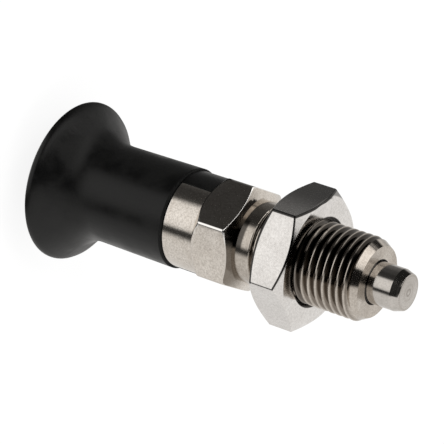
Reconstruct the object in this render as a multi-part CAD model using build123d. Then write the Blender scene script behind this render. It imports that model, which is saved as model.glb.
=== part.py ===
"""Indexing plunger with rest position: M16x1.5 sleeve, 8 mm pin and mushroom grip.

The plunger stands on the flat end of its grip, with the pin pointing up +Z and
the origin at the centre of that end. The slot of the rest position runs along X.
"""
import math
import os

from build123d import *

# thread M16x1.5 and the plain neck below it, drawn as one outer cylinder
thread_d = 15.85
thread_length = 26.1
end_bevel_depth = 1.15
end_bevel_angle = 30.0

# sleeve behind the thread
turned_d = 18.9
hex_flats = 19.0
hex_length = 8.45
hex_face_d = 17.1
hex_face_bevel_angle = 30.0
hex_low_bevel_angle = 45.0
hex_turn = 10.5
tongue_length = 6.8
tongue_edge = 0.2
slot_width = 9.6
slot_depth = 6.7
end_wall = 3.2

# pin: a nose for an 8 mm hole, and a thicker part that the sleeve guides
nose_d = 7.98
pin_reach = 6.55
nose_taper_length = 1.7
nose_taper_angle = 17.6
nose_edge_r = 0.25
nose_foot_rise = 0.07
nose_foot_angle = 30.0
guided_d = 8.3
pin_clearance = 0.03
bore_mouth_bevel = 0.1
shank_d = 5.0
shank_clearance = 0.05
shank_grip_length = 22.0
groove_depth = 0.5
groove_width = 1.4
groove_pitch = 3.2
groove_count = 3
shank_end_bevel = 0.5

# spring round the shank
spring_wire_d = 0.95
spring_clearance = 0.25
spring_length = 19.0
spring_turns = 12
spring_closed_turns = 1
spring_closed_gap = 0.05
spring_end_gap = 0.02
spring_points_per_turn = 12

# lock nut
nut_flats = 23.8
nut_height = 7.2
nut_gap = 6.4
nut_bevel_angle = 30.0
nut_bevel_share = 0.98
nut_bore_clearance = 0.07
nut_countersink_width = 0.66
nut_countersink_angle = 45.0
nut_turn = 42.0

# mushroom grip
grip_length = 27.8
neck_top_d = 19.6
neck_low_d = 19.2
seat_edge_r = 0.3
head_d = 31.4
rim_height = 1.3
rim_bevel_depth = 0.65
rim_bevel_height = 1.0
head_end_r = 0.8
rim_r = 1.4
flare_angle = 46.8
flare_r = 7.6
seat_gap = 0.02
bar_clearance = 0.12
bar_end_gap = 0.05
mould_gap = 0.01

# how far a cutting shape runs past the faces it cuts
overcut = 1.0

# heights of the faces along the axis, from the grip's flat end
seat_z = grip_length
tongue_end_z = seat_z + seat_gap
hex_low_z = tongue_end_z + tongue_length
hex_high_z = hex_low_z + hex_length
thread_end_z = hex_high_z + thread_length
tip_z = thread_end_z + pin_reach
slot_floor_z = tongue_end_z + slot_depth
chamber_z = slot_floor_z + end_wall
shoulder_z = chamber_z + spring_length
nut_low_z = hex_high_z + nut_gap
nut_high_z = nut_low_z + nut_height
shank_end_z = slot_floor_z - shank_grip_length

# radii that follow from the sizes above
thread_r = thread_d / 2
turned_r = turned_d / 2
guided_r = guided_d / 2
bore_r = guided_r + pin_clearance
coil_outer_r = guided_r - spring_clearance


def rise(radial, angle):
    """Axial length of a cone that grows by radial, at an angle to the end face."""
    return radial * math.tan(math.radians(angle))


def turned(points, rounds=()):
    """Solid of revolution from an (r, z) outline; rounds lists (corner, radius)."""
    outline = Polyline(*[(r, z) for r, z in points], close=True)
    section = make_face(outline)
    for corner, radius in rounds:
        nearest = section.vertices().sort_by_distance(Vector(*points[corner]))[0]
        section = fillet(nearest, radius)
    return revolve(Plane.XZ * section, Axis.Z)


def drilled(radius, low, high):
    """Straight round tool on the axis between two heights."""
    height = high - low
    return Pos(0, 0, low) * Cylinder(radius, height, align=(Align.CENTER, Align.CENTER, Align.MIN))


def flared(small_r, wide_r, low, high):
    """Cone on the axis, small_r at the low height and wide_r at the high one."""
    cone = Cone(small_r, wide_r, high - low, align=(Align.CENTER, Align.CENTER, Align.MIN))
    return Pos(0, 0, low) * cone


def bevelled_hexagon(flats, low, high, low_bevel, high_bevel, turn):
    """Hexagon bar piece with its corners turned down; each bevel is (face radius, angle)."""
    corner_r = flats / math.sqrt(3)
    wide_r = corner_r + overcut
    low_r, low_angle = low_bevel
    high_r, high_angle = high_bevel
    bar = extrude(RegularPolygon(corner_r, 6, rotation=turn), high - low)
    bar = Pos(0, 0, low) * bar
    envelope = turned([
        (0, low), (low_r, low), (wide_r, low + rise(wide_r - low_r, low_angle)),
        (wide_r, high - rise(wide_r - high_r, high_angle)), (high_r, high), (0, high),
    ])
    return bar & envelope


def guide_sleeve():
    """Sleeve in one piece: tongues, hexagon, neck and thread, bored for the pin."""
    tongues = turned([
        (0, tongue_end_z), (turned_r - tongue_edge, tongue_end_z),
        (turned_r, tongue_end_z + tongue_edge), (turned_r, hex_low_z), (0, hex_low_z),
    ])
    hexagon = bevelled_hexagon(
        hex_flats, hex_low_z, hex_high_z,
        (turned_r, hex_low_bevel_angle), (hex_face_d / 2, hex_face_bevel_angle), hex_turn,
    )
    face_r = thread_r - end_bevel_depth
    bevel_z = thread_end_z - end_bevel_depth / math.tan(math.radians(end_bevel_angle))
    thread = turned([
        (0, hex_high_z), (thread_r, hex_high_z), (thread_r, bevel_z),
        (face_r, thread_end_z), (0, thread_end_z),
    ])
    body = tongues + hexagon + thread
    slot = Pos(0, 0, slot_floor_z) * Box(
        3 * turned_r, slot_width, 2 * slot_depth, align=(Align.CENTER, Align.CENTER, Align.MAX)
    )
    body -= slot
    body -= drilled(bore_r, chamber_z, thread_end_z + overcut)
    body -= drilled(shank_d / 2 + shank_clearance, slot_floor_z - overcut, chamber_z + overcut)
    mouth_low = thread_end_z - bore_mouth_bevel
    body -= flared(bore_r, bore_r + 2 * bore_mouth_bevel, mouth_low, thread_end_z + bore_mouth_bevel)
    return body


def lock_nut():
    """Thin hexagon nut, bevelled on both sides, with countersunk bore."""
    bevel = (nut_bevel_share * nut_flats / 2, nut_bevel_angle)
    nut = bevelled_hexagon(nut_flats, nut_low_z, nut_high_z, bevel, bevel, nut_turn)
    hole_r = thread_r + nut_bore_clearance
    sink_r = hole_r + nut_countersink_width
    sink = rise(nut_countersink_width, nut_countersink_angle)
    nut -= drilled(hole_r, nut_low_z - overcut, nut_high_z + overcut)
    nut -= flared(hole_r, sink_r, nut_high_z - sink, nut_high_z)
    nut -= flared(sink_r, hole_r, nut_low_z, nut_low_z + sink)
    return nut


def shank_outline(extra):
    """Outline of the grooved end of the shank, from its lowest point up; extra widens it."""
    full_r = shank_d / 2 + extra
    low_r = full_r - groove_depth
    points = [
        (0, shank_end_z - extra),
        (full_r - shank_end_bevel, shank_end_z - extra),
        (full_r, shank_end_z + shank_end_bevel - extra),
    ]
    for index in range(groove_count):
        start = shank_end_z + groove_pitch * (index + 1) - groove_width
        points += [
            (full_r, start + extra), (low_r, start + extra),
            (low_r, start + groove_width - extra), (full_r, start + groove_width - extra),
        ]
    return points


def indexing_pin():
    """Pin in one piece: tapered nose, guided part and shank with grooves for the moulding."""
    nose_r = nose_d / 2
    tip_r = nose_r - rise(nose_taper_length, nose_taper_angle)
    foot_z = thread_end_z + nose_foot_rise
    foot_height = (guided_r - nose_r) / math.tan(math.radians(nose_foot_angle))
    points = shank_outline(0) + [
        (shank_d / 2, shoulder_z), (guided_r, shoulder_z),
        (guided_r, foot_z - foot_height), (nose_r, foot_z),
        (nose_r, tip_z - nose_taper_length), (tip_r, tip_z), (0, tip_z),
    ]
    return turned(points, rounds=[(len(points) - 2, nose_edge_r)])


def coil_rise(turn, length):
    """Rise of the wire after some turns, for a spring of this length with closed ends."""
    closed_pitch = spring_wire_d + spring_closed_gap
    open_turns = spring_turns - 2 * spring_closed_turns
    open_pitch = (length - 2 * spring_closed_turns * closed_pitch) / open_turns
    first = min(turn, spring_closed_turns)
    last = max(turn - spring_closed_turns - open_turns, 0)
    return closed_pitch * (first + last) + open_pitch * (turn - first - last)


def pressure_spring():
    """Coil spring between the sleeve's end wall and the pin's shoulder, ends ground flat."""
    low = chamber_z + spring_end_gap
    high = shoulder_z - spring_end_gap
    coil_r = coil_outer_r - spring_wire_d / 2
    points = []
    for index in range(spring_turns * spring_points_per_turn + 1):
        turn = index / spring_points_per_turn
        angle = 2 * math.pi * turn
        rise_here = coil_rise(turn, high - low)
        points.append((coil_r * math.cos(angle), coil_r * math.sin(angle), low + rise_here))
    path = Spline(*points)
    wire = Plane(origin=path @ 0, z_dir=path % 0) * Circle(spring_wire_d / 2)
    coil = sweep(wire, path=path, is_frenet=True)
    return coil & drilled(bore_r, low, high)


def mushroom_grip():
    """Moulded grip: flared head, neck and the bar that drops into the sleeve's slot."""
    head_r = head_d / 2
    neck_r = neck_low_d / 2
    rim_top_r = head_r - rim_bevel_depth
    rim_top_z = rim_height + rim_bevel_height
    flare_z = rim_top_z + (rim_top_r - neck_r) / math.tan(math.radians(flare_angle))
    grip = turned(
        [
            (0, 0), (head_r, 0), (head_r, rim_height), (rim_top_r, rim_top_z),
            (neck_r, flare_z), (neck_top_d / 2, seat_z), (0, seat_z),
        ],
        rounds=[(1, head_end_r), (2, rim_r), (4, flare_r), (5, seat_edge_r)],
    )
    bar_z = slot_floor_z - bar_end_gap
    bar = Box(
        3 * turned_r, slot_width - 2 * bar_clearance, bar_z - seat_z / 2,
        align=(Align.CENTER, Align.CENTER, Align.MAX),
    )
    grip += (Pos(0, 0, bar_z) * bar) & drilled(turned_r - seat_gap, seat_z / 2, bar_z)
    cavity = shank_outline(mould_gap) + [(shank_d / 2 + mould_gap, bar_z + overcut), (0, bar_z + overcut)]
    return grip - turned(cavity)


os.makedirs("parts", exist_ok=True)
nodes = {
    "guide_sleeve": guide_sleeve(),
    "lock_nut": lock_nut(),
    "indexing_pin": indexing_pin(),
    "pressure_spring": pressure_spring(),
    "mushroom_grip": mushroom_grip(),
}
for name, shape in nodes.items():
    export_step(shape, f"parts/{name}.step")
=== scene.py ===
import math

import bmesh
import bpy
from mathutils import Matrix, Vector


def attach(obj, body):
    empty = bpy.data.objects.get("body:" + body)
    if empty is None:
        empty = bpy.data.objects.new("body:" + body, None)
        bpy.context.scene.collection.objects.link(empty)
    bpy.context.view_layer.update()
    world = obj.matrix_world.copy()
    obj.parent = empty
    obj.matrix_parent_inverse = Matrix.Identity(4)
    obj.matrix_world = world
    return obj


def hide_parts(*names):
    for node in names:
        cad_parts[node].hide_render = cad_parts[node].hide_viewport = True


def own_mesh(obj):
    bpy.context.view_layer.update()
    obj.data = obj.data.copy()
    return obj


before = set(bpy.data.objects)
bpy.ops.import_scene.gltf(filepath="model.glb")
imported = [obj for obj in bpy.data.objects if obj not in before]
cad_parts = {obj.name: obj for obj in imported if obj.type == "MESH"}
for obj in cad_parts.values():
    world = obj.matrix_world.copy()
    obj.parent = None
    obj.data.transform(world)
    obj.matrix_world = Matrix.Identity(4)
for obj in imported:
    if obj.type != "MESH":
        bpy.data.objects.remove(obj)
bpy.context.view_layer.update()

# Everything is in metres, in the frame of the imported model: the plunger stands
# on the flat end of its grip, the pin points up +Z.
mm = 0.001

number = "NodeSocketFloat"
vector = "NodeSocketVector"


def feed(tree, socket, value):
    if isinstance(value, bpy.types.NodeSocket):
        tree.links.new(value, socket)
    else:
        socket.default_value = value


def moveNode(node, cell):
    node.location = (cell[0] * 200, cell[1] * 170)


def makeNode(tree, kind, cell=(0, 0), **values):
    # attributes go by their own name; sockets by their name with spaces as underscores
    node = tree.nodes.new(kind)
    moveNode(node, cell)
    for key, value in values.items():
        if hasattr(node, key):
            setattr(node, key, value)
        else:
            feed(tree, node.inputs[key.replace("_", " ")], value)
    return node


def maths(tree, operation, *values, clamp=False):
    node = makeNode(tree, "ShaderNodeMath", operation=operation, use_clamp=clamp)
    for index, value in enumerate(values):
        feed(tree, node.inputs[index], value)
    return node.outputs[0]


def plus(tree, first, second):
    return maths(tree, "ADD", first, second)


def minus(tree, first, second):
    return maths(tree, "SUBTRACT", first, second)


def times(tree, first, second):
    return maths(tree, "MULTIPLY", first, second)


def ramp(tree, value, low, high, toLow=0.0, toHigh=1.0, smooth=True):
    node = makeNode(tree, "ShaderNodeMapRange", clamp=True)
    node.interpolation_type = "SMOOTHSTEP" if smooth else "LINEAR"
    ends = {"Value": value, "From Min": low, "From Max": high, "To Min": toLow, "To Max": toHigh}
    for name, end in ends.items():
        feed(tree, node.inputs[name], end)
    return node.outputs["Result"]


def within(tree, value, low, high, soft):
    # 1 between low and high, with soft ends; an end that is None stays open
    inside = 1.0
    if low is not None:
        inside = ramp(tree, value, low - soft, low + soft)
    if high is not None:
        inside = times(tree, inside, ramp(tree, value, high - soft, high + soft, 1.0, 0.0))
    return inside


def blendColours(tree, factor, first, second):
    node = makeNode(tree, "ShaderNodeMix", data_type="RGBA")
    for name, value in (("Factor", factor), ("A", first), ("B", second)):
        feed(tree, node.inputs[name], value)
    return next(s for s in node.outputs if s.type == "RGBA")


def axisDistance(tree, at):
    square = plus(tree, times(tree, at[0], at[0]), times(tree, at[1], at[1]))
    return maths(tree, "SQRT", square)


def reachTowards(tree, at, azimuth):
    # how far a point lies from the axis in the direction of an azimuth
    turn = math.radians(azimuth)
    return plus(tree, times(tree, at[0], math.cos(turn)), times(tree, at[1], math.sin(turn)))


def newShaderGroup(name, inputs, outputs):
    tree = bpy.data.node_groups.new(name, "ShaderNodeTree")
    for label, kind, value in inputs:
        socket = tree.interface.new_socket(label, in_out="INPUT", socket_type=kind)
        if value is not None:
            socket.default_value = value
    for label in outputs:
        tree.interface.new_socket(label, in_out="OUTPUT", socket_type=number)
    start = makeNode(tree, "NodeGroupInput", (-5, 0))
    end = makeNode(tree, "NodeGroupOutput", (5, 0))
    return tree, start.outputs, end.inputs


def useGroup(tree, group, cell, **values):
    node = makeNode(tree, "ShaderNodeGroup", cell, node_tree=group)
    for key, value in values.items():
        feed(tree, node.inputs[key.replace("_", " ")], value)
    return node.outputs


def makeTurningMarks():
    # rings left by a lathe tool: they follow z on a wall and the radius on a face
    settings = {"coarseShare": 0.65, "coarseScale": 0.35, "fineScale": 1.6, "patchScale": 420.0}
    tree, given, out = newShaderGroup(
        "turningMarks",
        [("Position", vector, None), ("Pitch", number, 0.18 * mm), ("Break Up", number, 0.4)],
        ["Height", "Line"],
    )
    at = makeNode(tree, "ShaderNodeSeparateXYZ", (-4, 0), Vector=given["Position"]).outputs
    step = maths(tree, "DIVIDE", minus(tree, at[2], axisDistance(tree, at)), given["Pitch"])
    coarse = makeNode(tree, "ShaderNodeTexNoise", (-1, 1), noise_dimensions="1D", W=step,
                      Scale=settings["coarseScale"], Detail=3.0, Roughness=0.65)
    fine = makeNode(tree, "ShaderNodeTexNoise", (-1, -1), noise_dimensions="1D", W=step,
                    Scale=settings["fineScale"], Detail=2.0, Roughness=0.5)
    patches = makeNode(tree, "ShaderNodeTexNoise", (-1, -2), Vector=given["Position"],
                       Scale=settings["patchScale"], Detail=2.0)
    lines = plus(tree, times(tree, coarse.outputs[0], settings["coarseShare"]),
                 times(tree, fine.outputs[0], 1.0 - settings["coarseShare"]))
    gaps = times(tree, given["Break Up"], ramp(tree, patches.outputs[0], 0.35, 0.65))
    centred = times(tree, minus(tree, lines, 0.5), minus(tree, 1.0, gaps))
    feed(tree, out["Height"], plus(tree, centred, 0.5))
    feed(tree, out["Line"], ramp(tree, lines, 0.3, 0.7))
    return tree


def makeFineMottle():
    # small pits and cloudy patches of rolled, tumbled or drawn metal
    settings = {"pitScale": 0.42, "pitRadius": (0.06, 0.2), "pitDepth": 0.5}
    tree, given, out = newShaderGroup(
        "fineMottle",
        [("Position", vector, None), ("Grain", number, 3500.0), ("Cloud", number, 260.0)],
        ["Height", "Cloud", "Pits", "Speckle"],
    )
    grain = makeNode(tree, "ShaderNodeTexNoise", (-2, 1), Vector=given["Position"],
                     Scale=given["Grain"], Detail=3.0, Roughness=0.6)
    cloud = makeNode(tree, "ShaderNodeTexNoise", (-2, 0), Vector=given["Position"],
                     Scale=given["Cloud"], Detail=4.0, Roughness=0.55)
    cells = makeNode(tree, "ShaderNodeTexVoronoi", (-2, -1), Vector=given["Position"],
                     Scale=times(tree, given["Grain"], settings["pitScale"]))
    pits = ramp(tree, cells.outputs["Distance"], *settings["pitRadius"], 1.0, 0.0)
    feed(tree, out["Height"], minus(tree, grain.outputs[0], times(tree, pits, settings["pitDepth"])))
    feed(tree, out["Cloud"], ramp(tree, cloud.outputs[0], 0.3, 0.7))
    feed(tree, out["Pits"], pits)
    feed(tree, out["Speckle"], ramp(tree, grain.outputs[0], 0.32, 0.68, smooth=False))
    return tree


def makeHandlingMarks():
    # sparse hair scratches in two directions
    settings = {"turns": ((0.4, 0.2, 0.9), (-0.7, 1.1, 0.3)), "stretch": (1.0, 1.0, 0.06), "fineness": 12.0}
    tree, given, out = newShaderGroup(
        "handlingMarks",
        [("Position", vector, None), ("Scale", number, 240.0), ("Amount", number, 0.5)],
        ["Scratch"],
    )
    found = []
    for index, turn in enumerate(settings["turns"]):
        turned = makeNode(tree, "ShaderNodeMapping", (-3, index), Vector=given["Position"],
                          Rotation=turn, Scale=settings["stretch"])
        lines = makeNode(tree, "ShaderNodeTexNoise", (-2, index), Vector=turned.outputs[0],
                         Scale=times(tree, given["Scale"], settings["fineness"]), Detail=1.0)
        patches = makeNode(tree, "ShaderNodeTexNoise", (-2, index + 3), Vector=turned.outputs[0],
                           Scale=given["Scale"], Detail=1.0)
        thin = ramp(tree, lines.outputs[0], 0.68, 0.72)
        found.append(times(tree, thin, ramp(tree, patches.outputs[0], 0.5, 0.62)))
    feed(tree, out["Scratch"], times(tree, maths(tree, "MAXIMUM", *found), given["Amount"]))
    return tree


turningMarks = makeTurningMarks()
fineMottle = makeFineMottle()
handlingMarks = makeHandlingMarks()
print("stage: shader groups ready")


def newMaterial(name):
    material = bpy.data.materials.new(name)
    material.use_nodes = True
    tree = material.node_tree
    tree.nodes.clear()
    end = makeNode(tree, "ShaderNodeOutputMaterial", (6, 0))
    shader = makeNode(tree, "ShaderNodeBsdfPrincipled", (4, 0))
    tree.links.new(shader.outputs[0], end.inputs["Surface"])
    texture = makeNode(tree, "ShaderNodeTexCoord", (-8, 0)).outputs
    return material, tree, shader, texture["Object"], texture["Normal"]


steelMix = {
    "cloudShare": 0.6,               # of the worn colour, the rest follows the turning marks
    "pitColour": 0.5,                # of the worn colour
    "speckleColour": 0.45,
    "scratchRoughness": 0.12,
    "scratchDepth": 0.35,            # of the depth of marks and grain
    "rolledTilt": (0.2, 0.5),        # faces below this upward tilt are left as rolled
    "facedTilt": (0.93, 0.97),       # faces above this one are faced ends
    "bevelAngle": 30.0,              # of the bevel cones on which painted shade and marks can lie
}


def addMarksAndPaintedShade(tree, base, marksAndPaintedShade, place, normal):
    # a patch fills a window of these measures, each given as low, high and softness; most patches are painted
    # shade, painted dark reflections and painted dark edge lines, a few are real tool marks; funnel and cone are
    # heights on bevel cones, side is an azimuth with the cosines at which the patch begins and is full, and reach
    # is a distance from the axis towards an azimuth, beyond which the patch lies
    at = makeNode(tree, "ShaderNodeSeparateXYZ", (-6, 0), Vector=place).outputs
    tilt = makeNode(tree, "ShaderNodeSeparateXYZ", (-6, -3), Vector=normal).outputs[2]
    radius = axisDistance(tree, at)
    slope = times(tree, radius, math.tan(math.radians(steelMix["bevelAngle"])))
    measures = {"radius": radius, "height": at[2], "tilt": tilt,
                "funnel": minus(tree, at[2], slope), "cone": plus(tree, at[2], slope)}
    unpainted = 1.0
    for markOrShade in marksAndPaintedShade:
        inside = markOrShade["amount"]
        for key in (k for k in measures if k in markOrShade):
            inside = times(tree, inside, within(tree, measures[key], *markOrShade[key]))
        if "side" in markOrShade:
            azimuth, begins, full = markOrShade["side"]
            cosine = maths(tree, "DIVIDE", reachTowards(tree, at, azimuth), radius)
            inside = times(tree, inside, ramp(tree, cosine, begins, full))
        if "reach" in markOrShade:
            azimuth, low, soft = markOrShade["reach"]
            inside = times(tree, inside, within(tree, reachTowards(tree, at, azimuth), low, None, soft))
        base = blendColours(tree, inside, base, (*markOrShade["colour"], 1))
        unpainted = times(tree, unpainted, minus(tree, 1.0, inside))
    return base, unpainted, tilt


def makeSteel(name, colour, worn, roughness, roughSpread, marksPitch, marksDepth, grain, grainDepth,
              scratch=0.5, tint=0.5, pits=0.2, speckle=0.25, marksAndPaintedShade=(), flatsRoughness=None, endsRoughness=None):
    material, tree, shader, place, normal = newMaterial(name)
    marks = useGroup(tree, turningMarks, (-4, 2), Position=place, Pitch=marksPitch)
    mottle = useGroup(tree, fineMottle, (-4, 0), Position=place, Grain=grain)
    scratches = useGroup(tree, handlingMarks, (-4, -2), Position=place, Amount=scratch)
    shade = plus(tree, times(tree, mottle["Cloud"], steelMix["cloudShare"]),
                 times(tree, marks["Line"], 1.0 - steelMix["cloudShare"]))
    base = blendColours(tree, times(tree, shade, tint), (*colour, 1), (*worn, 1))
    for spots, amount, share in (("Pits", pits, steelMix["pitColour"]),
                                 ("Speckle", speckle, steelMix["speckleColour"])):
        base = blendColours(tree, times(tree, mottle[spots], amount), base, (*[c * share for c in worn], 1))
    base, unpainted, tilt = addMarksAndPaintedShade(tree, base, marksAndPaintedShade, place, normal)
    feed(tree, shader.inputs["Base Color"], base)
    shader.inputs["Metallic"].default_value = 1.0
    rough = plus(tree, roughness, times(tree, minus(tree, mottle["Cloud"], 0.5), roughSpread))
    # the sides of a nut are left as rolled, and faced ends are coarser than turned sides
    for wanted, limits, ends in ((flatsRoughness, steelMix["rolledTilt"], (1.0, 0.0)),
                                 (endsRoughness, steelMix["facedTilt"], (0.0, 1.0))):
        if wanted:
            there = ramp(tree, maths(tree, "ABSOLUTE", tilt), *limits, *ends)
            rough = plus(tree, rough, times(tree, there, wanted - roughness))
    scratched = times(tree, scratches["Scratch"], steelMix["scratchRoughness"])
    feed(tree, shader.inputs["Roughness"], maths(tree, "ADD", rough, scratched, clamp=True))
    relief = plus(tree, times(tree, marks["Height"], marksDepth), times(tree, mottle["Height"], grainDepth))
    scratchDepth = steelMix["scratchDepth"] * (marksDepth + grainDepth)
    relief = minus(tree, relief, times(tree, scratches["Scratch"], scratchDepth))
    # the bump is switched off where a patch is painted
    bump = makeNode(tree, "ShaderNodeBump", (3, -2), Height=relief, Strength=unpainted, Distance=1.0)
    feed(tree, shader.inputs["Normal"], bump.outputs[0])
    return material


def newObject(name, data):
    made = bpy.data.objects.new(name, data)
    bpy.context.scene.collection.objects.link(made)
    return made


def mergedCopy(node, name):
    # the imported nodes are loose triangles, so a copy gets its doubles merged
    work = bmesh.new()
    work.from_mesh(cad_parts[node].data)
    bmesh.ops.remove_doubles(work, verts=work.verts, dist=0.001 * mm)
    bmesh.ops.dissolve_limit(work, angle_limit=math.radians(0.4), verts=work.verts, edges=work.edges)
    mesh = bpy.data.meshes.new(name)
    work.to_mesh(mesh)
    work.free()
    return newObject(name, mesh)


def smoothByAngle(mesh, degrees):
    mesh.shade_smooth()
    work = bmesh.new()
    work.from_mesh(mesh)
    limit = math.radians(degrees)
    for edge in work.edges:
        edge.smooth = len(edge.link_faces) == 2 and edge.calc_face_angle(0.0) < limit
    work.to_mesh(mesh)
    work.free()


def baked(piece):
    # the evaluated mesh of a piece, with its modifiers removed
    piece.data.update()
    bpy.context.view_layer.update()
    graph = bpy.context.evaluated_depsgraph_get()
    mesh = bpy.data.meshes.new_from_object(piece.evaluated_get(graph), preserve_all_data_layers=True,
                                           depsgraph=graph)
    piece.modifiers.clear()
    old = piece.data
    piece.data = mesh
    mesh.name = piece.name
    bpy.data.meshes.remove(old)
    return piece


def roundEdges(piece, width, degrees, segments, outside, inner=0.0, material=-1):
    # rounds the convex edges sharper than an angle; inner is the share of the width kept inside a radius
    work = bmesh.new()
    work.from_mesh(piece.data)
    bmesh.ops.dissolve_limit(work, angle_limit=math.radians(0.5), verts=work.verts[:], edges=work.edges[:])
    weight = work.edges.layers.float.new("bevel_weight_edge")
    for edge in work.edges:
        if len(edge.link_faces) != 2 or not edge.is_convex:
            continue
        if edge.calc_face_angle() > math.radians(degrees):
            edge[weight] = 1.0 if min(v.co.xy.length for v in edge.verts) > outside else inner
    work.to_mesh(piece.data)
    work.free()
    modifier = piece.modifiers.new("edges", "BEVEL")
    modifier.width = width
    modifier.segments = segments
    modifier.limit_method = "WEIGHT"
    modifier.use_clamp_overlap = False
    modifier.material = material
    return baked(piece)


def openEdges(mesh):
    work = bmesh.new()
    work.from_mesh(mesh)
    count = sum(1 for edge in work.edges if len(edge.link_faces) != 2)
    work.free()
    return count


def setMaterial(piece, material):
    piece.data.materials.clear()
    piece.data.materials.append(material)
    piece.data.polygons.foreach_set("material_index", [0] * len(piece.data.polygons))


def joinPieces(first, *others):
    with bpy.context.temp_override(active_object=first, object=first, selected_objects=[first, *others],
                                   selected_editable_objects=[first, *others]):
        bpy.ops.object.join()
    return first


def register(piece, body, node):
    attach(piece, body)
    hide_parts(node)


threadSettings = {
    "pitch": 1.5 * mm,
    "crestRadius": 7.925 * mm,
    "rootRadius": 7.05 * mm,
    "crestFlat": 0.875,              # the flank ends here, on the way from the root to the crest
    "rootFlat": 0.04,
    "rootCurve": 1.6,
    "rootRise": 0.12,
    "lowHeight": 42.9 * mm,          # inside the hexagon
    "neckHeight": 46.1 * mm,         # the plain neck ends here
    "fullHeight": 46.9 * mm,
    "endHeight": 69.17 * mm,
    "faceRadius": 6.775 * mm,
    "faceStep": 0.05 * mm,           # width of the outermost ring of the end face
    "bevelAngle": 30.0,
    "fadeLow": 67.9 * mm,            # the cutter leaves the bar here
    "fadeHigh": 68.7 * mm,
    "crestHeight": 66.7 * mm,        # a crest passes here on the side at crestAzimuth
    "crestAzimuth": 249.6,
    "around": 96,
    "across": 16,
    "boreRadius": 4.181 * mm,
    "mouthRadius": 4.28 * mm,
    "mouthStep": 0.03 * mm,
    "mouthDepth": 0.1 * mm,
    "mergeDistance": 0.0005 * mm,
    "seamDistance": 0.002 * mm,
    "smoothAngle": 28.0,
    "steel": dict(
        colour=(0.68, 0.63, 0.57), worn=(0.38, 0.33, 0.28), roughness=0.12, roughSpread=0.05,
        endsRoughness=0.26, marksPitch=0.11 * mm, marksDepth=0.005 * mm, grain=2900.0, grainDepth=0.002 * mm,
        tint=0.7, speckle=0.4,
        marksAndPaintedShade=[
            # painted shade: in the roots, deeper in the roots towards azimuth 200, in the gap round the pin, the
            # shadow of the nut, and a dark band on the neck beside the hexagon
            dict(radius=(None, 7.74 * mm, 0.15 * mm), height=(46.4 * mm, 67.4 * mm, 0.3 * mm),
                 amount=0.8, colour=(0.13, 0.105, 0.083)),
            dict(radius=(None, 7.84 * mm, 0.15 * mm), height=(46.4 * mm, 67.4 * mm, 0.3 * mm),
                 amount=0.97, colour=(0.03, 0.026, 0.022), side=(200.0, 0.35, 0.8)),
            dict(radius=(None, 4.32 * mm, 0.03 * mm), height=(69.0 * mm, None, 0.02 * mm),
                 amount=0.95, colour=(0.02, 0.018, 0.016)),
            dict(radius=(7.0 * mm, 8.0 * mm, 0.01 * mm), height=(55.8 * mm, 57.6 * mm, 0.7 * mm),
                 amount=0.7, colour=(0.09, 0.08, 0.07)),
            dict(height=(42.0 * mm, 44.5 * mm, 0.25 * mm), amount=0.9, colour=(0.05, 0.045, 0.04),
                 side=(246.0, 0.91, 0.955)),
        ]),
}


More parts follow.
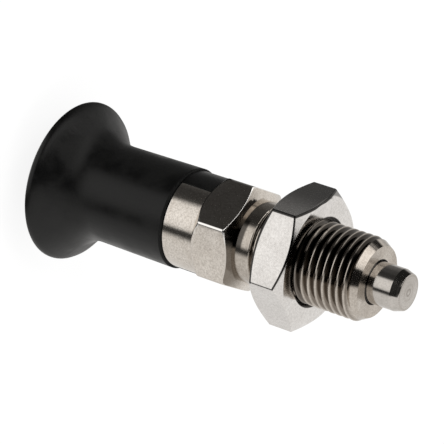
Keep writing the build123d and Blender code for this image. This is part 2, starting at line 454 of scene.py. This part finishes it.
def makeThreadTree(settings):
    # one strip, a pitch wide, winds up the bar; each turn meets the next at a crest
    tree = bpy.data.node_groups.new("cutThread", "GeometryNodeTree")
    tree.is_modifier = True
    sizes = ("Pitch", "Turns", "Start Height", "Start Angle", "Crest Radius", "Root Radius", "Low Height",
             "Neck Height", "Full Height", "End Height", "Face Radius", "Bevel Slope", "Fade Low", "Fade High")
    for label, kind in (
        ("Geometry", "NodeSocketGeometry"), *[(size, number) for size in sizes],
        ("Around", "NodeSocketInt"), ("Across", "NodeSocketInt"), ("Material", "NodeSocketMaterial"),
    ):
        tree.interface.new_socket(label, in_out="INPUT", socket_type=kind)
    tree.interface.new_socket("Geometry", in_out="OUTPUT", socket_type="NodeSocketGeometry")
    given = makeNode(tree, "NodeGroupInput", (-6, 0)).outputs
    end = makeNode(tree, "NodeGroupOutput", (7, 0))
    grid = makeNode(tree, "GeometryNodeMeshGrid", (-4, 0), Vertices_X=given["Around"],
                    Vertices_Y=given["Across"], Size_X=1.0, Size_Y=1.0)
    position = makeNode(tree, "GeometryNodeInputPosition", (-5, -2)).outputs[0]
    at = makeNode(tree, "ShaderNodeSeparateXYZ", (-4, -2), Vector=position).outputs
    turn = times(tree, plus(tree, at[0], 0.5), given["Turns"])
    share = plus(tree, at[1], 0.5)
    angle = plus(tree, times(tree, turn, 2 * math.pi), given["Start Angle"])
    height = plus(tree, times(tree, plus(tree, turn, share), given["Pitch"]), given["Start Height"])
    # the profile goes from 0 at the root to 1 at the crest
    fromRoot = maths(tree, "ABSOLUTE", minus(tree, times(tree, share, 2.0), 1.0))
    flank = ramp(tree, fromRoot, settings["rootFlat"], settings["crestFlat"], smooth=False)
    curve = times(tree, times(tree, fromRoot, fromRoot), settings["rootCurve"])
    profile = maths(tree, "MAXIMUM", flank, maths(tree, "MINIMUM", curve, settings["rootRise"]))
    lowFade = ramp(tree, height, given["Neck Height"], given["Full Height"])
    highFade = ramp(tree, height, given["Fade Low"], given["Fade High"], 1.0, 0.0)
    depth = times(tree, minus(tree, given["Crest Radius"], given["Root Radius"]), minus(tree, 1.0, profile))
    cut = minus(tree, given["Crest Radius"], times(tree, depth, times(tree, lowFade, highFade)))
    capped = maths(tree, "MINIMUM", maths(tree, "MAXIMUM", height, given["Low Height"]), given["End Height"])
    left = minus(tree, given["End Height"], capped)
    cone = plus(tree, given["Face Radius"], times(tree, left, given["Bevel Slope"]))
    radius = maths(tree, "MINIMUM", cut, cone)
    point = makeNode(tree, "ShaderNodeCombineXYZ", (2, -2), X=times(tree, radius, maths(tree, "COSINE", angle)),
                     Y=times(tree, radius, maths(tree, "SINE", angle)), Z=capped)
    moved = makeNode(tree, "GeometryNodeSetPosition", (3, 0), Geometry=grid.outputs["Mesh"],
                     Position=point.outputs[0])
    merged = makeNode(tree, "GeometryNodeMergeByDistance", (4, 0), Geometry=moved.outputs[0],
                      Distance=settings["mergeDistance"])
    real = makeNode(tree, "GeometryNodeRealizeInstances", (5, 0), Geometry=merged.outputs[0])
    finished = makeNode(tree, "GeometryNodeSetMaterial", (6, 0), Geometry=real.outputs[0],
                        Material=given["Material"])
    tree.links.new(finished.outputs[0], end.inputs[0])
    return tree


def windThread(name, settings, material):
    rise = settings["pitch"]
    turns = math.ceil((settings["endHeight"] - settings["lowHeight"]) / rise) + 3
    # crests lie on start height + pitch * turn, so the start is whole pitches below the known crest
    below = math.ceil((settings["crestHeight"] - settings["lowHeight"]) / rise) + 2
    piece = newObject(name, bpy.data.meshes.new(name))
    modifier = piece.modifiers.new("thread", "NODES")
    modifier.node_group = makeThreadTree(settings)
    values = {
        "Pitch": rise, "Turns": float(turns),
        "Start Height": settings["crestHeight"] - below * rise,
        "Start Angle": math.radians(settings["crestAzimuth"]),
        "Crest Radius": settings["crestRadius"], "Root Radius": settings["rootRadius"],
        "Low Height": settings["lowHeight"], "Neck Height": settings["neckHeight"],
        "Full Height": settings["fullHeight"], "End Height": settings["endHeight"],
        "Face Radius": settings["faceRadius"], "Bevel Slope": math.tan(math.radians(settings["bevelAngle"])),
        "Fade Low": settings["fadeLow"], "Fade High": settings["fadeHigh"],
        "Around": turns * settings["around"] + 1, "Across": settings["across"] + 1, "Material": material,
    }
    for item in modifier.node_group.interface.items_tree:
        if item.item_type == "SOCKET" and item.in_out == "INPUT" and item.name in values:
            modifier[item.identifier] = values[item.name]
    return baked(piece)


def addTurned(work, outline, around, startAzimuth):
    # rings of points, one for each radius and height of the outline, joined to a wall
    rings = []
    for radius, height in outline:
        ring = []
        for index in range(around):
            angle = math.radians(startAzimuth) + 2 * math.pi * index / around
            ring.append(work.verts.new((radius * math.cos(angle), radius * math.sin(angle), height)))
        rings.append(ring)
    for low, high in zip(rings, rings[1:]):
        for index in range(around):
            after = (index + 1) % around
            work.faces.new((low[index], low[after], high[after], high[index]))


def makeThread(settings):
    # the wound outside, closed by the end face, the bore and a bottom inside the hexagon
    steel = makeSteel("threadSteel", **settings["steel"])
    shell = windThread("threadShell", settings, steel)
    top, low = settings["endHeight"], settings["lowHeight"]
    face, mouth, bore = settings["faceRadius"], settings["mouthRadius"], settings["boreRadius"]
    work = bmesh.new()
    work.from_mesh(shell.data)
    addTurned(work, [
        (face, top), (face - settings["faceStep"], top), (mouth + settings["mouthStep"], top), (mouth, top),
        (bore, top - settings["mouthDepth"]), (bore, low), (settings["crestRadius"], low),
    ], settings["around"], settings["crestAzimuth"])
    bmesh.ops.remove_doubles(work, verts=work.verts, dist=settings["seamDistance"])
    bmesh.ops.recalc_face_normals(work, faces=work.faces)
    work.to_mesh(shell.data)
    work.free()
    print("thread open edges:", openEdges(shell.data), "faces:", len(shell.data.polygons))
    smoothByAngle(shell.data, settings["smoothAngle"])
    setMaterial(shell, steel)
    return shell


endFaceWindow = dict(radius=(7.9 * mm, None, 0.1 * mm), height=(41.0 * mm, 44.0 * mm, 0.1 * mm),
                     tilt=(0.6, None, 0.1))

sleeveSettings = {
    "cutHeight": 43.068 * mm,        # the neck and the thread start here
    "cutDistance": 0.0001 * mm,
    "edgeWidth": 0.32 * mm,
    "edgeAngle": 36.0,
    "edgeSegments": 4,
    "edgeOutside": 10.6 * mm,        # only edges beyond this radius get the full width
    "edgeInner": 0.4,                # share of the width that the others get
    "smoothAngle": 26.0,
    "steel": dict(
        colour=(0.84, 0.79, 0.73), worn=(0.54, 0.48, 0.415), roughness=0.09, roughSpread=0.05,
        marksPitch=0.16 * mm, marksDepth=0.005 * mm, grain=3000.0, grainDepth=0.006 * mm, speckle=0.5,
        marksAndPaintedShade=[
            # shade on the hexagon's end face, and a darker part of it
            dict(endFaceWindow, amount=0.85, colour=(0.15, 0.125, 0.1), side=(265.0, 0.1, 0.75)),
            dict(endFaceWindow, amount=0.95, colour=(0.03, 0.027, 0.024), side=(250.0, 0.94, 0.985)),
        ]),
    # lighter steel on the rounded edges: partly polished wear, partly a painted highlight
    "edgeSteel": dict(
        colour=(0.98, 0.96, 0.93), worn=(0.9, 0.88, 0.85), roughness=0.1, roughSpread=0.0,
        marksPitch=0.16 * mm, marksDepth=0.0, grain=3000.0, grainDepth=0.001 * mm, speckle=0.0, pits=0.0,
        marksAndPaintedShade=[
            # painted shade on the edges towards azimuth 310, and a darker band towards azimuth 206
            dict(amount=0.75, colour=(0.5, 0.45, 0.4), side=(310.0, 0.55, 0.75)),
            dict(height=(34.0 * mm, 37.0 * mm, 0.2 * mm), amount=0.92, colour=(0.05, 0.045, 0.04),
                 side=(206.0, 0.78, 0.9)),
        ]),
}


def makeGuideSleeve(settings):
    body = mergedCopy("guide_sleeve", "guideSleeve")
    work = bmesh.new()
    work.from_mesh(body.data)
    bmesh.ops.bisect_plane(work, geom=[*work.verts, *work.edges, *work.faces], dist=settings["cutDistance"],
                           plane_co=(0, 0, settings["cutHeight"]), plane_no=(0, 0, 1), clear_outer=True)
    rim = [e for e in work.edges if len(e.link_faces) == 1]
    bmesh.ops.triangle_fill(work, use_beauty=True, edges=rim)
    bmesh.ops.recalc_face_normals(work, faces=work.faces)
    work.to_mesh(body.data)
    work.free()
    print("sleeve open edges:", openEdges(body.data))
    setMaterial(body, makeSteel("sleeveSteel", **settings["steel"]))
    # the rounded edges get the lighter edge steel, partly polished wear and partly a painted highlight
    body.data.materials.append(makeSteel("sleeveEdge", **settings["edgeSteel"]))
    roundEdges(body, settings["edgeWidth"], settings["edgeAngle"], settings["edgeSegments"],
               settings["edgeOutside"], settings["edgeInner"], material=1)
    print("rounded sleeve open edges:", openEdges(body.data))
    smoothByAngle(body.data, settings["smoothAngle"])
    return body


threadShell = makeThread(threadSettings)
guideSleeve = joinPieces(makeGuideSleeve(sleeveSettings), threadShell)
register(guideSleeve, "sleeve", "guide_sleeve")
print("stage: guide sleeve,", len(guideSleeve.data.polygons), "faces")

# colour of the painted dark lines along the nut's edges
paintedEdgeDark = (0.02, 0.019, 0.018)

nutSettings = {
    "edgeWidth": 0.1 * mm,
    "edgeAngle": 38.0,
    "edgeSegments": 2,
    "edgeOutside": 10.5 * mm,
    "boreRadius": 8.75 * mm,         # faces inside it belong to the bore
    "boreTilt": 0.9,                 # unless they face up or down more than this
    "smoothAngle": 12.0,
    "steel": dict(
        colour=(0.86, 0.84, 0.82), worn=(0.68, 0.65, 0.62), roughness=0.13, roughSpread=0.05,
        flatsRoughness=0.22, marksPitch=0.14 * mm, marksDepth=0.005 * mm, grain=2600.0, grainDepth=0.006 * mm,
        scratch=0.8, speckle=0.36,
        marksAndPaintedShade=[
            # painted shade in the countersink, the dark faces as a painted dark reflection, painted shade round
            # the thread, a painted dark reflection at the end of the bevel
            dict(radius=(None, 8.7 * mm, 0.1 * mm), amount=0.8, colour=(0.1, 0.092, 0.083)),
            dict(radius=(10.0 * mm, None, 0.1 * mm), height=(None, 56.2 * mm, 0.1 * mm), amount=0.8,
                 colour=(0.13, 0.127, 0.123), side=(160.0, 0.5, 0.98)),
            dict(radius=(None, 10.9 * mm, 0.5 * mm), height=(56.3 * mm, None, 0.1 * mm), tilt=(0.9, None, 0.05),
                 amount=0.85, colour=(0.1, 0.088, 0.076), side=(249.0, 0.68, 0.86)),
            dict(radius=(12.0 * mm, None, 0.15 * mm), height=(56.0 * mm, None, 0.1 * mm), tilt=(0.5, None, 0.1),
                 amount=0.92, colour=(0.04, 0.038, 0.035), side=(188.0, 0.945, 0.975)),
            # painted dark lines standing for the dark reflections of the rounded edges, round the faces towards
            # azimuths 192 and 252:
            # two on the bevel, two at corners, one along the lower bevel
            dict(cone=(63.36 * mm, None, 0.02 * mm), amount=0.96, colour=paintedEdgeDark,
                 reach=(252.0, 11.6 * mm, 0.03 * mm)),
            dict(cone=(63.36 * mm, None, 0.02 * mm), amount=0.96, colour=paintedEdgeDark,
                 reach=(192.0, 11.5 * mm, 0.05 * mm)),
            dict(tilt=(-0.4, 0.4, 0.1), amount=0.96, colour=paintedEdgeDark, reach=(222.0, 13.57 * mm, 0.04 * mm)),
            dict(tilt=(-0.4, 0.4, 0.1), amount=0.8, colour=paintedEdgeDark, reach=(282.0, 13.67 * mm, 0.03 * mm)),
            dict(funnel=(None, 43.1 * mm, 0.06 * mm), tilt=(-0.4, 0.4, 0.1), amount=0.96, colour=paintedEdgeDark,
                 side=(252.0, 0.85, 0.855)),
        ]),
    # the bore's dark colour is painted shade inside the nut
    "boreSteel": dict(
        colour=(0.13, 0.12, 0.11), worn=(0.05, 0.045, 0.04), roughness=0.3, roughSpread=0.05,
        marksPitch=0.3 * mm, marksDepth=0.0, grain=2600.0, grainDepth=0.0, scratch=0.0, speckle=0.0, pits=0.0),
}


def makeLockNut(settings):
    nut = mergedCopy("lock_nut", "lockNut")
    setMaterial(nut, makeSteel("nutSteel", **settings["steel"]))
    roundEdges(nut, settings["edgeWidth"], settings["edgeAngle"], settings["edgeSegments"],
               settings["edgeOutside"])
    # the bore's faces get the dark steel that paints the shade inside it
    nut.data.materials.append(makeSteel("nutBore", **settings["boreSteel"]))
    for face in nut.data.polygons:
        widest = max(nut.data.vertices[v].co.xy.length for v in face.vertices)
        if abs(face.normal.z) < settings["boreTilt"] and widest < settings["boreRadius"]:
            face.material_index = 1
    smoothByAngle(nut.data, settings["smoothAngle"])
    return nut


lockNut = makeLockNut(nutSettings)
register(lockNut, "nut", "lock_nut")
print("stage: lock nut")


def makePlainPiece(node, name, material, smoothAngle):
    # a piece whose packed form needs nothing but its finish
    piece = mergedCopy(node, name)
    smoothByAngle(piece.data, smoothAngle)
    setMaterial(piece, material)
    return piece


facedGrey = (0.3, 0.27, 0.24)

pinSettings = {
    "smoothAngle": 16.0,
    "steel": dict(
        colour=(0.64, 0.61, 0.575), worn=(0.45, 0.415, 0.375), roughness=0.09, roughSpread=0.04,
        endsRoughness=0.26, marksPitch=0.1 * mm, marksDepth=0.003 * mm, grain=3000.0, grainDepth=0.0015 * mm,
        scratch=0.4, speckle=0.3,
        marksAndPaintedShade=[
            # painted shade on the part inside the bore, then the centre mark and the tool's rings on the end, and
            # the end painted darker towards azimuth 195 as shade
            dict(height=(60.0 * mm, 69.3 * mm, 0.03 * mm), amount=0.95, colour=(0.02, 0.018, 0.016)),
            dict(radius=(0.42 * mm, 0.78 * mm, 0.12 * mm), height=(75.6 * mm, None, 0.05 * mm), amount=0.65,
                 colour=(0.22, 0.19, 0.17)),
            dict(radius=(1.3 * mm, 1.7 * mm, 0.2 * mm), height=(75.6 * mm, None, 0.05 * mm), amount=0.3,
                 colour=facedGrey),
            dict(radius=(3.0 * mm, 3.3 * mm, 0.1 * mm), height=(75.4 * mm, None, 0.05 * mm), amount=0.4,
                 colour=facedGrey),
            dict(height=(75.6 * mm, None, 0.05 * mm), amount=0.3, colour=facedGrey, side=(195.0, -0.7, 0.9)),
        ]),
}

pinSteel = makeSteel("pinSteel", **pinSettings["steel"])
indexingPin = makePlainPiece("indexing_pin", "indexingPin", pinSteel, pinSettings["smoothAngle"])
register(indexingPin, "pull", "indexing_pin")

springSettings = {
    "smoothAngle": 40.0,
    "steel": dict(colour=(0.62, 0.61, 0.59), worn=(0.42, 0.41, 0.4), roughness=0.3, roughSpread=0.1,
                  marksPitch=0.3 * mm, marksDepth=0.0, grain=3000.0, grainDepth=0.003 * mm),
}

springSteel = makeSteel("springSteel", **springSettings["steel"])
pressureSpring = makePlainPiece("pressure_spring", "pressureSpring", springSteel, springSettings["smoothAngle"])
register(pressureSpring, "sleeve", "pressure_spring")
# the low end stays on the end wall of the sleeve
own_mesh(pressureSpring)

gripSettings = {
    "smoothAngle": 30.0,
    "colour": (0.0025, 0.0025, 0.0025),
    "worn": (0.0085, 0.0085, 0.0082),
    "roughness": 0.38,
    "roughSpread": 0.16,
    "scratch": 0.5,
    "scratchRoughness": 0.1,
    "specular": 0.26,
    "cloud": 170.0,
    "grain": 1500.0,
    "grainDepth": 0.012 * mm,
    "seatLow": (27.3 * mm, 27.5 * mm),         # the moulded edge at the seat is matt
    "seatHigh": (27.79 * mm, 27.85 * mm),
    "seatRoughness": 0.4,
}


def makeGripPlastic(settings):
    material, tree, shader, place, _ = newMaterial("gripPlastic")
    mottle = useGroup(tree, fineMottle, (-4, 0), Position=place, Grain=settings["grain"], Cloud=settings["cloud"])
    scratches = useGroup(tree, handlingMarks, (-4, -2), Position=place, Amount=settings["scratch"])
    base = blendColours(tree, mottle["Cloud"], (*settings["colour"], 1), (*settings["worn"], 1))
    feed(tree, shader.inputs["Base Color"], base)
    shader.inputs["Specular IOR Level"].default_value = settings["specular"]
    spread = times(tree, minus(tree, mottle["Cloud"], 0.5), settings["roughSpread"])
    height = makeNode(tree, "ShaderNodeSeparateXYZ", (-6, 0), Vector=place).outputs[2]
    seat = times(tree, ramp(tree, height, *settings["seatLow"]),
                 ramp(tree, height, *settings["seatHigh"], settings["seatRoughness"], 0.0))
    rough = plus(tree, plus(tree, settings["roughness"], spread), seat)
    scratched = times(tree, scratches["Scratch"], settings["scratchRoughness"])
    feed(tree, shader.inputs["Roughness"], plus(tree, rough, scratched))
    bump = makeNode(tree, "ShaderNodeBump", (3, -2), Height=times(tree, mottle["Height"], settings["grainDepth"]),
                    Strength=1.0, Distance=1.0)
    feed(tree, shader.inputs["Normal"], bump.outputs[0])
    return material


gripPlastic = makeGripPlastic(gripSettings)
mushroomGrip = makePlainPiece("mushroom_grip", "mushroomGrip", gripPlastic, gripSettings["smoothAngle"])
register(mushroomGrip, "pull", "mushroom_grip")
print("stage: pin, spring and grip")


studio = {
    "cameraAt": (-0.135969, -0.361802, 0.261821),
    "cameraRight": (-0.13203, 0.56160, 0.81680),
    "cameraUp": (-0.94461, 0.17849, -0.27541),
    "cameraForward": (0.30046, 0.80792, -0.50693),
    "lens": 194.595,
    "sensorWidth": 36.0,
    "clipStart": 0.01,
    "clipEnd": 10.0,
    "worldColour": (1.0, 0.995, 0.985),
    "worldStrength": 0.8,
    "floorSize": 3.0,
    "floorHeight": -7.1 * mm,        # the pulled grip comes down to here
    "floorAlbedo": 0.15,
    "floorGlow": 0.87,
    "facing": 249.6,                 # azimuth of the side that faces the camera
    "lampTarget": (0, 0, 0.035),
    "lampSize": 0.5,
    "lamps": {"softBoxLeft": ((-0.55, -0.35, 0.6), 3.0), "softBoxRight": ((0.45, -0.5, 0.7), 2.0)},
}


def makeCamera():
    camera = bpy.data.cameras.new("camera")
    camera.lens = studio["lens"]
    camera.sensor_width = studio["sensorWidth"]
    camera.sensor_fit = "HORIZONTAL"
    camera.clip_start = studio["clipStart"]
    camera.clip_end = studio["clipEnd"]
    cameraObject = newObject("camera", camera)
    right, up, forward = (Vector(studio[k]) for k in ("cameraRight", "cameraUp", "cameraForward"))
    turned = Matrix((right, up, -forward)).transposed()
    cameraObject.matrix_world = Matrix.Translation(Vector(studio["cameraAt"])) @ turned.to_4x4()
    bpy.context.scene.camera = cameraObject


def makeWorld():
    # white where the camera sees it, softer where it lights the plunger
    world = bpy.data.worlds.new("studioRoom")
    bpy.context.scene.world = world
    world.use_nodes = True
    tree = world.node_tree
    back = next(n for n in tree.nodes if n.type == "BACKGROUND")
    back.inputs["Color"].default_value = (*studio["worldColour"], 1)
    seen = makeNode(tree, "ShaderNodeLightPath", (-4, 0)).outputs["Is Camera Ray"]
    extra = times(tree, seen, 1.0 - studio["worldStrength"])
    feed(tree, back.inputs["Strength"], plus(tree, extra, studio["worldStrength"]))
    if hasattr(world, "cycles"):
        world.cycles.sampling_method = "NONE"


def stageMaterial(name, build):
    material = bpy.data.materials.new(name)
    material.use_nodes = True
    tree = material.node_tree
    tree.nodes.clear()
    build(tree, makeNode(tree, "ShaderNodeOutputMaterial", (6, 0)))
    if hasattr(material, "cycles"):
        material.cycles.emission_sampling = "NONE"
    return material


def makeFloor():
    half = studio["floorSize"] / 2
    mesh = bpy.data.meshes.new("floor")
    mesh.from_pydata([(-half, -half, 0), (half, -half, 0), (half, half, 0), (-half, half, 0)], [], [(0, 1, 2, 3)])
    floor = newObject("floor", mesh)
    floor.location.z = studio["floorHeight"]

    def build(tree, end):
        light = makeNode(tree, "ShaderNodeLightPath", (-4, 0)).outputs
        seen = maths(tree, "MAXIMUM", light["Is Camera Ray"],
                     maths(tree, "MAXIMUM", light["Is Glossy Ray"], light["Is Transmission Ray"]))
        glow = makeNode(tree, "ShaderNodeEmission", (0, 1), Strength=times(tree, seen, studio["floorGlow"]))
        matt = makeNode(tree, "ShaderNodeBsdfDiffuse", (0, -1), Color=(*[studio["floorAlbedo"]] * 3, 1))
        both = makeNode(tree, "ShaderNodeAddShader", (1, 0))
        tree.links.new(glow.outputs[0], both.inputs[0])
        tree.links.new(matt.outputs[0], both.inputs[1])
        # from below the floor is clear
        back = makeNode(tree, "ShaderNodeNewGeometry", (0, 3)).outputs["Backfacing"]
        clear = makeNode(tree, "ShaderNodeBsdfTransparent", (1, -1))
        under = makeNode(tree, "ShaderNodeMixShader", (2, 0), Fac=back)
        tree.links.new(both.outputs[0], under.inputs[1])
        tree.links.new(clear.outputs[0], under.inputs[2])
        tree.links.new(under.outputs[0], end.inputs["Surface"])

    mesh.materials.append(stageMaterial("paleFloor", build))


# what polished metal sees round it, by azimuth from the camera's side and by elevation, in degrees
reflectionField = {
    "radius": 0.6,
    "around": 64,
    "rings": 16,
    "aboveFloor": 0.5 * mm,
    "eyeHeight": 0.045,              # elevations are measured from here
    "colour": (1.0, 0.985, 0.965),
    "upperLevel": 0.9,
    "upperStart": (-6.0, 0.0),
    # azimuth and brightness of the lower part: table, a soft box on the left and the dark room
    "lowRing": [
        (-180, 1.0), (-172, 0.95), (-160, 0.65), (-150, 0.6), (-138, 0.5), (-130, 0.2), (-120, 0.17), (-105, 0.14),
        (-90, 0.08), (-72, 0.07), (-60, 0.045), (-45, 0.05), (-36, 0.08), (-31, 0.5), (-26, 1.0), (-10, 1.1),
        (10, 1.1), (22, 1.0), (28, 0.6), (32, 0.06), (41, 0.05), (45, 0.3), (52, 0.8), (60, 0.86), (90, 0.84),
        (120, 0.82), (150, 0.84), (180, 0.85),
    ],
    # azimuth low and high, elevation low and high, softness, brightness
    "patches": [
        (-128.0, 46.0, -8.0, 15.0, 4.0, 0.02),
        (-100.0, 35.0, 12.0, 95.0, 4.0, 0.015),
        (-400.0, 400.0, 76.0, 95.0, 4.0, 0.02),
        (-96.0, -19.0, 17.0, 35.0, 3.0, 1.6),
    ],
}


def makeDomeMesh(low):
    # a bowl turned upside down, closed by a flat bottom
    radius, around, steps = (reflectionField[k] for k in ("radius", "around", "rings"))
    work = bmesh.new()
    rings = []
    for step in range(steps):
        tilt = math.pi / 2 * step / steps
        turns = [2 * math.pi * k / around for k in range(around)]
        rings.append([work.verts.new((radius * math.cos(tilt) * math.cos(turn),
                                      radius * math.cos(tilt) * math.sin(turn),
                                      radius * math.sin(tilt) + low)) for turn in turns])
    top = work.verts.new((0, 0, radius + low))
    for ring, upper in zip(rings, rings[1:]):
        for k in range(around):
            work.faces.new((ring[k], ring[(k + 1) % around], upper[(k + 1) % around], upper[k]))
    for k in range(around):
        work.faces.new((rings[-1][k], rings[-1][(k + 1) % around], top))
    work.faces.new(list(reversed(rings[0])))
    mesh = bpy.data.meshes.new("reflectionDome")
    work.to_mesh(mesh)
    work.free()
    return mesh


def makeRing(tree, azimuth):
    # brightness of the lower part by azimuth, with straight lines between the given ones
    ring = makeNode(tree, "ShaderNodeFloatCurve", (-1, 2),
                    Value=plus(tree, maths(tree, "DIVIDE", azimuth, 360.0), 0.5))
    ring.mapping.clip_max_y = 2.0
    curve = ring.mapping.curves[0]
    stops = [((angle + 180.0) / 360.0, bright) for angle, bright in reflectionField["lowRing"]]
    curve.points[0].location = stops[0]
    curve.points[1].location = stops[-1]
    for stop in stops[1:-1]:
        curve.points.new(*stop)
    for point in curve.points:
        point.handle_type = "VECTOR"
    ring.mapping.update()
    return ring.outputs[0]


def makeReflectionDome():
    # flags and soft boxes that only mirror-like surfaces see
    mesh = makeDomeMesh(studio["floorHeight"] + reflectionField["aboveFloor"])
    dome = newObject("reflectionDome", mesh)

    def build(tree, end):
        texture = makeNode(tree, "ShaderNodeTexCoord", (-5, 0)).outputs
        at = makeNode(tree, "ShaderNodeSeparateXYZ", (-4, 0), Vector=texture["Object"]).outputs
        lifted = minus(tree, at[2], reflectionField["eyeHeight"])
        elevation = maths(tree, "DEGREES", maths(tree, "ARCTAN2", lifted, axisDistance(tree, at)))
        ahead = reachTowards(tree, at, studio["facing"])
        aside = reachTowards(tree, at, studio["facing"] + 90.0)
        azimuth = maths(tree, "DEGREES", maths(tree, "ARCTAN2", aside, ahead))
        above = ramp(tree, elevation, *reflectionField["upperStart"])
        level = plus(tree, times(tree, makeRing(tree, azimuth), minus(tree, 1.0, above)),
                     times(tree, above, reflectionField["upperLevel"]))
        for azLow, azHigh, elLow, elHigh, soft, bright in reflectionField["patches"]:
            mask = times(tree, within(tree, azimuth, azLow, azHigh, soft),
                         within(tree, elevation, elLow, elHigh, soft))
            level = plus(tree, times(tree, level, minus(tree, 1.0, mask)), times(tree, mask, bright))
        glow = makeNode(tree, "ShaderNodeEmission", (4, 0), Color=(*reflectionField["colour"], 1), Strength=level)
        tree.links.new(glow.outputs[0], end.inputs["Surface"])

    mesh.materials.append(stageMaterial("reflectionField", build))
    for ray in ("camera", "diffuse", "shadow", "transmission", "volume_scatter"):
        setattr(dome, "visible_" + ray, False)


def addLamp(name, at, power):
    lamp = bpy.data.lights.new(name, "AREA")
    lamp.shape = "DISK"
    lamp.size = studio["lampSize"]
    lamp.energy = power
    lampObject = newObject(name, lamp)
    lampObject.location = at
    aim = Vector(studio["lampTarget"]) - Vector(at)
    lampObject.rotation_euler = aim.to_track_quat("-Z", "Y").to_euler()
    lampObject.visible_glossy = False


makeCamera()
makeWorld()
makeFloor()
makeReflectionDome()
for lampName, (lampAt, lampPower) in studio["lamps"].items():
    addLamp(lampName, lampAt, lampPower)

bpy.context.scene.view_settings.view_transform = "Standard"
print("stage: studio ready")
